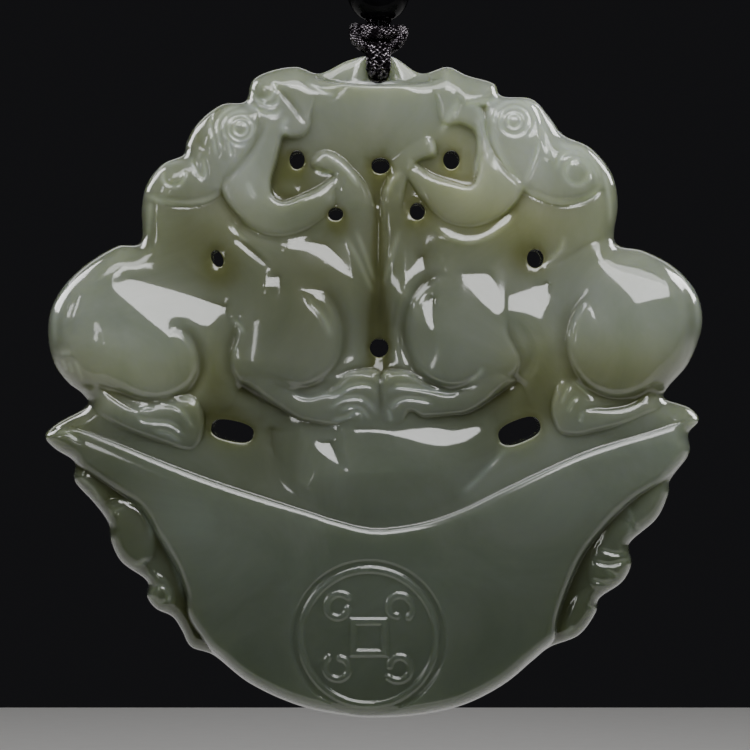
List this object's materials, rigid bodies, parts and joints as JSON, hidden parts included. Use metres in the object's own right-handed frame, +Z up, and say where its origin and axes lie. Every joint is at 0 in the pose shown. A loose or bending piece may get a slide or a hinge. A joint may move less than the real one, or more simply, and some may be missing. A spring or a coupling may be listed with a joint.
{
  "type": "chinese jade pendant",
  "caption": "Pierced jade pendant of two beasts over a boat-shaped ingot, hung from a knotted black cord with a round bead and a loop.",
  "frame": {"origin": "the point where the hanging loop rests on whatever holds it, at the loop's top", "axes": "+X right and +Z up as seen from the carved face, -Y out of the carved face"},
  "size_m": [0.0623, 0.0104, 0.1199],
  "materials": {
    "jade": "polished",
    "cord": "satin",
    "bead": "polished"
  },
  "bodies": {
    "hanging_cord": {"hanging_loop": "cord", "round_bead": "bead", "cord_knot": "cord", "bail_cord": "cord"},
    "pendant": {"jade_carving": "jade"}
  },
  "joints": [
    {"name": "pendant_swing", "type": "hinge", "parent": "hanging_cord", "child": "pendant", "pos_m": [0, 0, -0.0588], "axis": [0, 1, 0], "range_deg": [-20, 20]}
  ]
}
